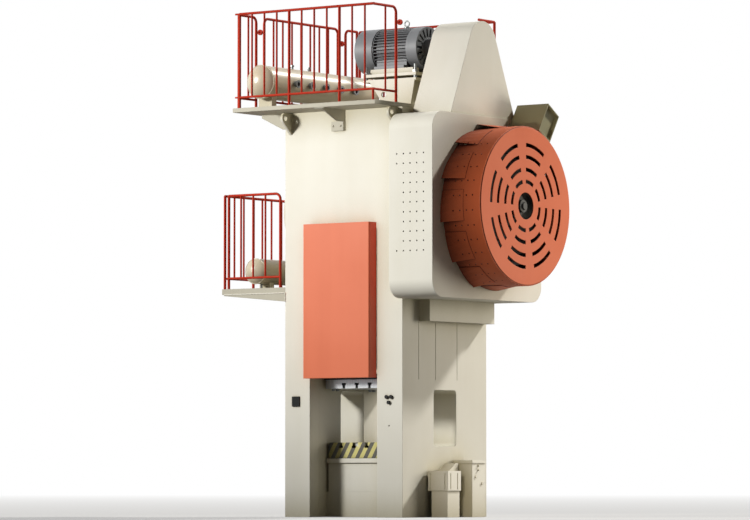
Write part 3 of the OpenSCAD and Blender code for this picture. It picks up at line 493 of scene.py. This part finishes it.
def terminalLid():
    # the motor's terminal box closes with a flat lid and four screws; the box faces the back
    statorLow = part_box("motor_stator")[0]
    rotorLow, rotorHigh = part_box("motor_rotor")
    pulleyLow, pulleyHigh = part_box("motor_pulley")
    axisZ = (pulleyLow.z + pulleyHigh.z) / 2
    x0 = statorLow.x + boxLid["left"]
    x1 = statorLow.x + boxLid["right"]
    z0 = axisZ - boxLid["below"]
    z1 = axisZ + boxLid["above"]
    y = (rotorLow.y + rotorHigh.y) / 2 + boxLid["back"]
    bm = bmesh.new()
    made = bmesh.ops.create_cube(bm, size=1.0)["verts"]
    bmesh.ops.scale(bm, verts=made, vec=(x1 - x0 + boxLid["lip"], boxLid["out"], z1 - z0 + boxLid["lip"]))
    bmesh.ops.translate(bm, verts=made, vec=((x0 + x1) / 2, y + boxLid["out"] / 2, (z0 + z1) / 2))
    bmesh.ops.bevel(bm, geom=bm.edges[:], offset=boxLid["edge"], segments=boxLid["edgeSteps"],
                    affect="EDGES")
    for x in (x0 + boxLid["inset"], x1 - boxLid["inset"]):
        for z in (z0 + boxLid["inset"], z1 - boxLid["inset"]):
            at = Vector((x, y + boxLid["out"], z))
            hexScrew(bm, at, (0, 1, 0), boxLid["screw"], boxLid["screwTall"])
    addPiece("terminal_lid", "press", "motor_grey", bm)


weld = {
    "leg": 0.009, "plate": 0.020, "footIn": 0.325, "footOut": 0.080,
    "upper_deck": {"under": 0.050, "tall": 0.185, "tip": 0.045,
                   "first": 0.020, "middle": 0.0, "last": 0.040},
    "lower_deck": {"under": 0.068, "tall": 0.105, "tip": 0.035,
                   "first": 0.0, "middle": -0.010, "last": 0.020},
}


def plateWelds():
    # fillet welds where plates meet the frame: along the gussets of both decks and the motor stand's feet
    lowerLow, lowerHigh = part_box("lower_deck")
    wall = lowerHigh.x
    bm = bmesh.new()
    for node in ("upper_deck", "lower_deck"):
        gusset = weld[node]
        low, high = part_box(node)
        under = high.z - gusset["under"]
        for y in (lowerLow.y + gusset["first"], gusset["middle"], lowerHigh.y - gusset["last"]):
            for side in (y, y + weld["plate"]):
                weldBead(bm, ((wall, side, under), (wall, side, under - gusset["tall"])), weld["leg"])
                weldBead(bm, ((low.x + gusset["tip"], side, under), (wall, side, under)), weld["leg"])
    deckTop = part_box("upper_deck")[1].z
    standLow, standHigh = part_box("motor_bracket")
    for y in (standLow.y, standLow.y + weld["plate"], standHigh.y - weld["plate"], standHigh.y):
        start = (standLow.x + weld["footIn"], y, deckTop)
        end = (standHigh.x - weld["footOut"], y, deckTop)
        weldBead(bm, (start, end), weld["leg"])
    addPiece("plate_welds", "press", "cream_paint", bm)


brakeCoverScrews()
treadLugs("upper_tread", "upper_deck")
treadLugs("lower_tread", "lower_deck")
tankSeams()
displayGlass()
terminalLid()
plateWelds()
print("screws, treads, seams and welds added")

floorLook = {
    "half": 900.0, "under": 0.002, "colour": "#B9B8B6", "bounce": "#565553", "rough": 0.9,
    "near": 6.0, "far": 95.0, "nearLift": 0.42,
}


def seenRays(tree):
    # 1 for what the camera sees, straight or in metal and glass, and 0 for light that falls on the press
    ray = addNode(tree, "LightPath")
    straight = addNode(tree, "Math", {}, {0: ray.outputs["Is Camera Ray"], 1: ray.outputs["Is Glossy Ray"]},
                       operation="MAXIMUM")
    seen = addNode(tree, "Math", {}, {0: straight.outputs["Value"], 1: ray.outputs["Is Transmission Ray"]},
                   operation="MAXIMUM")
    return seen.outputs["Value"]


def studioFloor():
    # matt painted board, pale under the press and white farther off
    mesh = bpy.data.meshes.new("studio_floor")
    h = floorLook["half"]
    mesh.from_pydata([(-h, -h, 0), (h, -h, 0), (h, h, 0), (-h, h, 0)], [], [(0, 1, 2, 3)])
    floor = bpy.data.objects.new("studio_floor", mesh)
    floor.location.z = -floorLook["under"]
    scene.collection.objects.link(floor)
    mat, tree, shader, place = startMaterial("floor_painted_board")
    shader.inputs["Roughness"].default_value = floorLook["rough"]
    white = addNode(tree, "Emission", {"Color": (1, 1, 1, 1), "Strength": 1.0})
    away = addNode(tree, "VectorMath", {}, {0: place}, operation="LENGTH")
    lift = addNode(tree, "MapRange",
                   {"From Min": floorLook["near"], "From Max": floorLook["far"],
                    "To Min": floorLook["nearLift"], "To Max": 1.0},
                   {"Value": away.outputs["Value"]})
    seen = seenRays(tree)
    # the board throws less light back up at the press than it shows, so shade under the press stays deep
    board = addNode(tree, "Mix", {"A": toLinear(floorLook["bounce"]), "B": toLinear(floorLook["colour"])},
                    {"Factor": seen}, data_type="RGBA")
    tree.links.new(board.outputs["Result"], shader.inputs["Base Color"])
    share = addNode(tree, "Math", {}, {0: seen, 1: lift.outputs["Result"]}, operation="MULTIPLY")
    mix = addNode(tree, "MixShader", {}, {0: share.outputs["Value"], 1: shader.outputs["BSDF"],
                                          2: white.outputs["Emission"]})
    tree.links.new(mix.outputs["Shader"], tree.nodes["Material Output"].inputs["Surface"])
    mesh.materials.append(mat)


studioFloor()

sky = {"strength": 0.02, "colour": "#F6EBD2"}


def studioSky():
    # faint warm light from all round, seen as white
    world = bpy.data.worlds.new("studio")
    scene.world = world
    world.use_nodes = True
    tree = world.node_tree
    soft = tree.nodes["Background"]
    soft.inputs["Color"].default_value = toLinear(sky["colour"])
    soft.inputs["Strength"].default_value = sky["strength"]
    white = addNode(tree, "Background", {"Color": (1, 1, 1, 1), "Strength": 1.0})
    mix = addNode(tree, "MixShader", {}, {0: seenRays(tree), 1: soft.outputs["Background"],
                                          2: white.outputs["Background"]})
    tree.links.new(mix.outputs["Shader"], tree.nodes["World Output"].inputs["Surface"])


# pieces in a lamp's passBy list take no light from it and those in passThrough throw no shadow in it,
# and a lamp that has an only list lights nothing but the pieces in it
lamps = {
    "key": {"kind": "SPOT", "at": (-9.4, -13.4, 8.4), "aim": (0.8, -0.6, 3.45), "power": 14600.0,
            "soft": 1.6, "colour": "#FFFEFA", "cone": 36.0,
            "passBy": ("clutch_cover_shell", "cover_scoops"),
            "passThrough": ("upper_rail_front", "upper_rail_left", "upper_rail_back", "rail_couplings",
                            "lower_rails", "upper_deck", "upper_tread", "front_guard")},
    "fill": {"kind": "AREA", "at": (7.6, 5.3, 2.9), "aim": (0.9, 0.0, 1.8), "power": 330.0,
             "soft": 3.5, "colour": "#FFF7E6",
             "passBy": ("flywheel_brake_box", "studio_floor")},
    "back": {"kind": "SUN", "at": (3.0, 7.1, 6.4), "aim": (0.0, 0.0, 0.0), "power": 3.5,
             "soft": 5.0, "colour": "#FFFCF6"},
    "cover": {"kind": "SPOT", "at": (3.2, -4.2, 3.95), "aim": (3.2, -0.9, 3.85), "power": 320.0,
              "soft": 0.1, "colour": "#FFF6E8", "cone": 60.0,
              "only": ("clutch_cover_shell", "cover_scoops", "flywheel_brake_box")},
    "foot": {"kind": "SPOT", "at": (3.4, -4.6, 1.5), "aim": (1.2, 0.2, 0.6), "power": 400.0,
             "soft": 0.4, "colour": "#FFF6E8", "cone": 60.0,
             "only": ("cabinet_front", "cabinet_rear")},
}
linking = {
    "passBy": ("receiver_collection", "EXCLUDE"),
    "passThrough": ("blocker_collection", "EXCLUDE"),
    "only": ("receiver_collection", "INCLUDE"),
}


def studioLamp(name, look):
    lamp = bpy.data.lights.new(name + "_light", look["kind"])
    lamp.energy = look["power"]
    lamp.color = toLinear(look["colour"])[:3]
    if look["kind"] == "SPOT":
        lamp.shadow_soft_size = look["soft"]
        lamp.spot_size = math.radians(look["cone"])
        lamp.spot_blend = 1.0
    elif look["kind"] == "AREA":
        lamp.size = look["soft"]
    else:
        lamp.angle = math.radians(look["soft"])
    obj = bpy.data.objects.new(name + "_light", lamp)
    obj.location = look["at"]
    obj.rotation_euler = (Vector(look["at"]) - Vector(look["aim"])).to_track_quat("Z", "Y").to_euler()
    obj.visible_camera = False
    scene.collection.objects.link(obj)
    for key, (side, state) in linking.items():
        if key in look:
            group = bpy.data.collections.new(name + "_" + key)
            for node in look[key]:
                group.objects.link(nodes.get(node) or bpy.data.objects[node])
            for entry in group.collection_objects:
                entry.light_linking.link_state = state
            setattr(obj.light_linking, side, group)


studioSky()
for lampName, lampLook in lamps.items():
    studioLamp(lampName, lampLook)

shot = {  # focal length, horizon, corner pixel and frame are in the photograph's pixels
    "azimuth": 36.0, "focal": 4250.0, "distance": 50.0, "horizon": 483.0,
    "corner": (0.865, -0.870), "cornerPixel": (402.4, 517.5), "frame": (750, 520),
    "sensor": 36.0, "clip": 300.0,
}


def studioCamera():
    # stands so that the frame's front right foot falls on its pixel and the horizon on its row
    a = math.radians(shot["azimuth"])
    right = Vector((math.cos(a), math.sin(a), 0))
    ahead = Vector((-math.sin(a), math.cos(a), 0))
    wide, high = shot["frame"]
    off = (shot["cornerPixel"][0] - wide / 2) / shot["focal"] * shot["distance"]
    height = (shot["cornerPixel"][1] - shot["horizon"]) / shot["focal"] * shot["distance"]
    corner = Vector((shot["corner"][0], shot["corner"][1], 0))
    cam = bpy.data.cameras.new("studio_camera")
    cam.sensor_width = shot["sensor"]
    cam.lens = shot["sensor"] * shot["focal"] / wide
    cam.clip_end = shot["clip"]
    obj = bpy.data.objects.new("studio_camera", cam)
    tilt = math.atan((shot["horizon"] - high / 2) / shot["focal"])
    obj.rotation_euler = (math.pi / 2 + tilt, 0, a)
    obj.location = corner - ahead * shot["distance"] - right * off + Vector((0, 0, height))
    scene.collection.objects.link(obj)
    scene.camera = obj


studioCamera()
print("floor, light and camera set")
